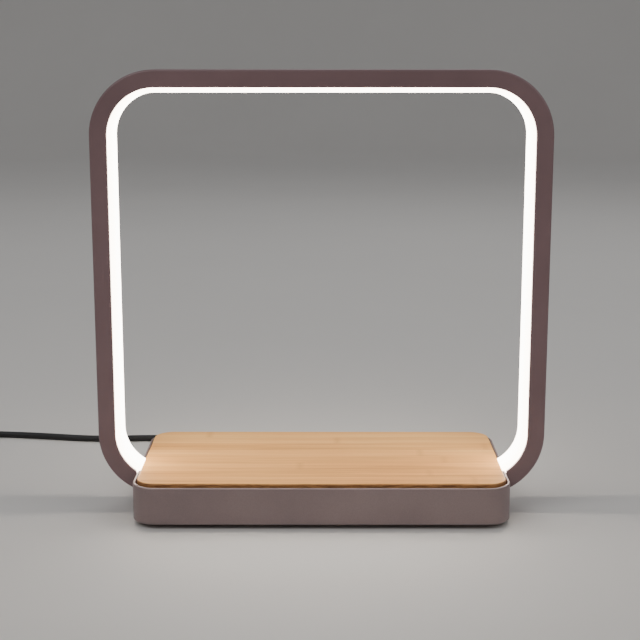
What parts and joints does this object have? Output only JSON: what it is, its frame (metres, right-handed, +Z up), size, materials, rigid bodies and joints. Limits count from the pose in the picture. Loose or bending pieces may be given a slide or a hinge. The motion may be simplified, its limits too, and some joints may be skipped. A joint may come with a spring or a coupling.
{
  "type": "wireless charging pad with ring lamp",
  "caption": "Charging pad with a wooden top in a rounded box, under a rounded-square arch whose inner side is a glowing light strip.",
  "frame": {"origin": "middle of the base, on the surface that its feet stand on", "axes": "+Z up, +X along the base and across the lit ring, +Y to the rear, where the cable goes in"},
  "size_m": [0.3306, 0.1528, 0.2013],
  "materials": {
    "casing": "fine matte",
    "feet": "matte",
    "screws": "bright zinc",
    "bamboo": "satin, sealed",
    "film": "tacky",
    "copper": "enamelled wire",
    "ferrite": "matte",
    "component": "moulded",
    "tray": "moulded",
    "lead": "insulated wire",
    "circuit": "solder mask",
    "circuit_white": "white solder mask",
    "ceramic_cap": "satin",
    "contact_metal": "nickel plated",
    "button": "fine matte",
    "steel": "zinc plated",
    "ring_coat": "fine matte paint",
    "diffuser": "milky, lit from inside",
    "led": "phosphor",
    "cable_black": "soft matte"
  },
  "bodies": {
    "pad": {"base_shell": "casing", "bottom_cover": "casing", "rubber_feet": "feet", "cover_screws": "screws", "bamboo_plate": "bamboo", "adhesive_film": "film", "charging_coil": "copper", "ferrite_disc": "ferrite", "thermistor": "component", "coil_tray": "tray", "tray_screws": "screws", "coil_leads": "lead", "main_board": "circuit", "board_screws": "screws", "control_chip": "component", "ring_light_driver": "component", "resonance_capacitors": "ceramic_cap", "power_inductor": "ferrite", "light_connector": "tray", "usb_c_socket": "contact_metal", "tact_switch": "component", "ballast_plate": "steel", "ring_channel": "ring_coat", "ring_diffuser": "diffuser", "led_strip": "circuit_white", "led_chips": "led", "bracket_right": "steel", "bracket_left": "steel", "bracket_screws": "screws", "led_leads": "lead", "usb_c_plug_tip": "contact_metal", "usb_c_plug": "cable_black", "usb_c_strain_relief": "cable_black", "cable": "cable_black", "cable_hank": "cable_black", "cable_tail": "cable_black", "usb_a_strain_relief": "cable_black", "usb_a_plug": "cable_black", "usb_a_shell": "contact_metal"},
    "button": {"power_button": "button", "switch_plunger": "component"}
  },
  "joints": [
    {"name": "button_press", "type": "slide", "parent": "pad", "child": "button", "axis": [0, -1, 0], "range_m": [0, 0.0005], "stiffness_N_per_m": 1200, "springref_m": -0.0005}
  ]
}
